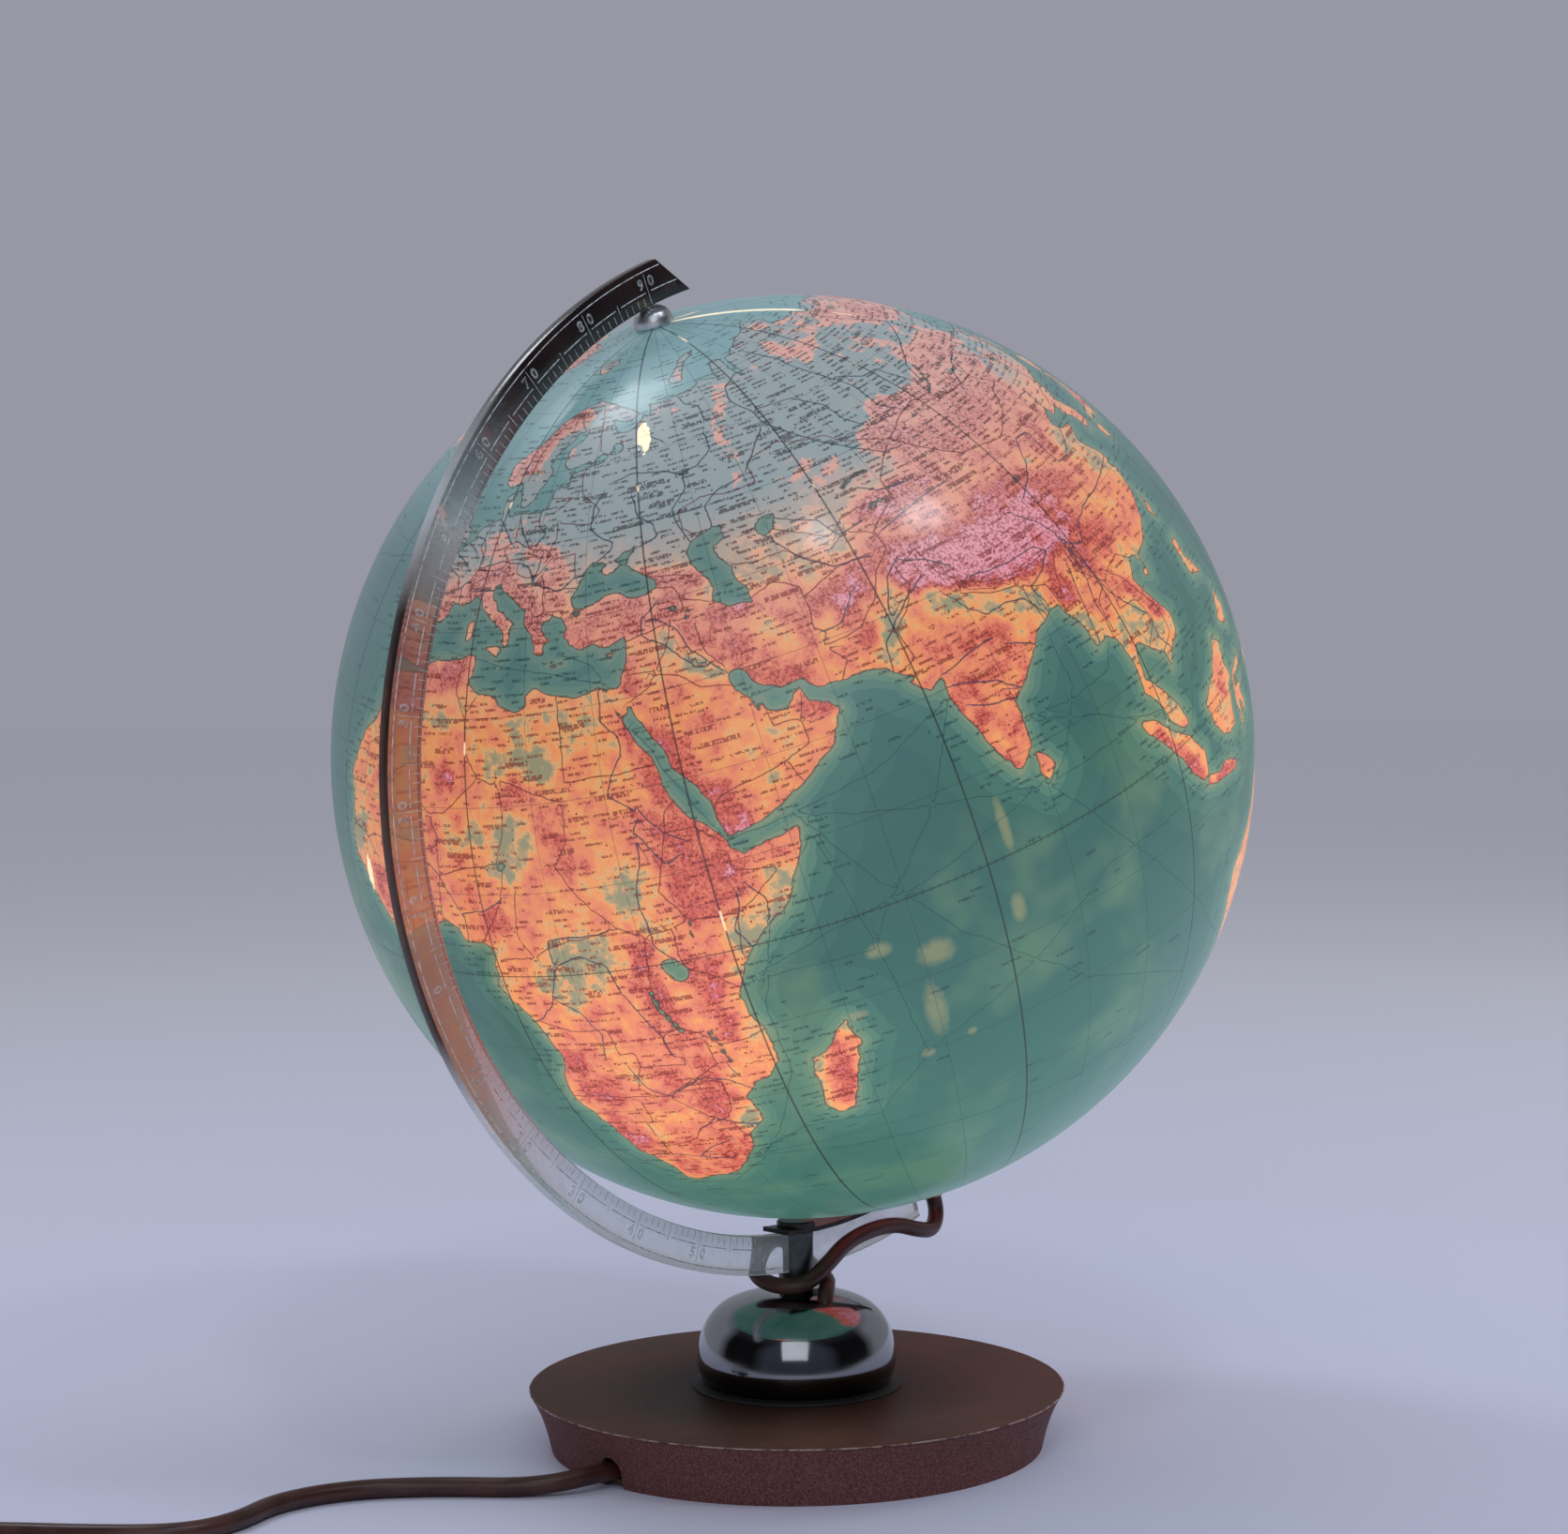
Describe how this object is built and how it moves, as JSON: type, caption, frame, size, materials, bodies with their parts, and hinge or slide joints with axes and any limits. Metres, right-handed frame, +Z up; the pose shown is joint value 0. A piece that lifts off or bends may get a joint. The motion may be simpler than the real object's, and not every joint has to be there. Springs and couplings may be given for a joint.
{
  "type": "illuminated desktop globe",
  "caption": "Translucent lit globe turning in a clear meridian arm on a chrome dome and weighted round foot, with a mains lead.",
  "frame": {"origin": "centre of the foot's underside, on the surface it stands on", "axes": "+Z up; the meridian arm stands in the XZ plane and bulges towards -X, where the mains lead leaves the foot; the globe's axis leans 23.5 degrees towards -X"},
  "size_m": [0.497, 0.3439, 0.3849],
  "materials": {
    "foot_paint": "brown hammered enamel, satin",
    "cast_iron": "rough cast",
    "fibre_board": "pressed fibre board",
    "felt": "felt",
    "zinc_steel": "zinc plated",
    "rubber_gasket": "matt rubber",
    "chrome": "polished chrome",
    "clear_acrylic": "clear acrylic with an engraved scale",
    "dark_steel": "blackened steel",
    "brass": "plain brass",
    "bakelite": "moulded, semi gloss",
    "bulb_glass": "opal glass",
    "core_insulation": "soft insulation",
    "map_print": "printed relief map under clear lacquer, lit from inside",
    "white_plastic": "white plastic",
    "lead_sheath": "dark red-brown soft sheath",
    "plug_plastic": "moulded plug, semi gloss",
    "pin_brass": "nickel plated brass"
  },
  "bodies": {
    "stand": {"base_shell": "foot_paint", "base_weight": "cast_iron", "bottom_plate": "fibre_board", "base_felt": "felt", "plate_screws": "zinc_steel", "neck_rod": "zinc_steel", "rod_washer": "zinc_steel", "rod_nut": "zinc_steel", "grub_screw": "zinc_steel", "north_pin": "zinc_steel", "terminal_screws": "zinc_steel", "clamp_screws": "zinc_steel", "tube_nuts": "zinc_steel", "dome_gasket": "rubber_gasket", "dome_cover": "chrome", "neck_post": "chrome", "meridian_arm": "clear_acrylic", "lamp_strap": "dark_steel", "strap_cap": "dark_steel", "cap_screws": "dark_steel", "lamp_tube": "brass", "holder_sleeve": "brass", "holder_contact": "brass", "bulb_cap": "brass", "lamp_holder": "bakelite", "terminal_block": "bakelite", "cord_clamp": "bakelite", "bulb_glass": "bulb_glass", "bulb_filament": "bulb_glass", "lamp_cores": "core_insulation", "mains_cores": "core_insulation", "lamp_cores_foot": "core_insulation", "lamp_lead": "lead_sheath", "mains_lead": "lead_sheath", "mains_lead_coil": "lead_sheath", "mains_lead_tail": "lead_sheath", "plug_body": "plug_plastic", "plug_pins": "pin_brass"},
    "globe": {"northern_hemisphere": "map_print", "southern_hemisphere": "map_print", "equator_band": "white_plastic", "north_hub": "chrome", "north_hub_nut": "zinc_steel", "south_bush": "brass", "south_bush_nut": "brass"}
  },
  "joints": [
    {"name": "globe_spin", "type": "hinge", "parent": "stand", "child": "globe", "pos_m": [0, 0, 0.2268], "axis": [-0.3987, 0, 0.9171], "continuous": true}
  ]
}
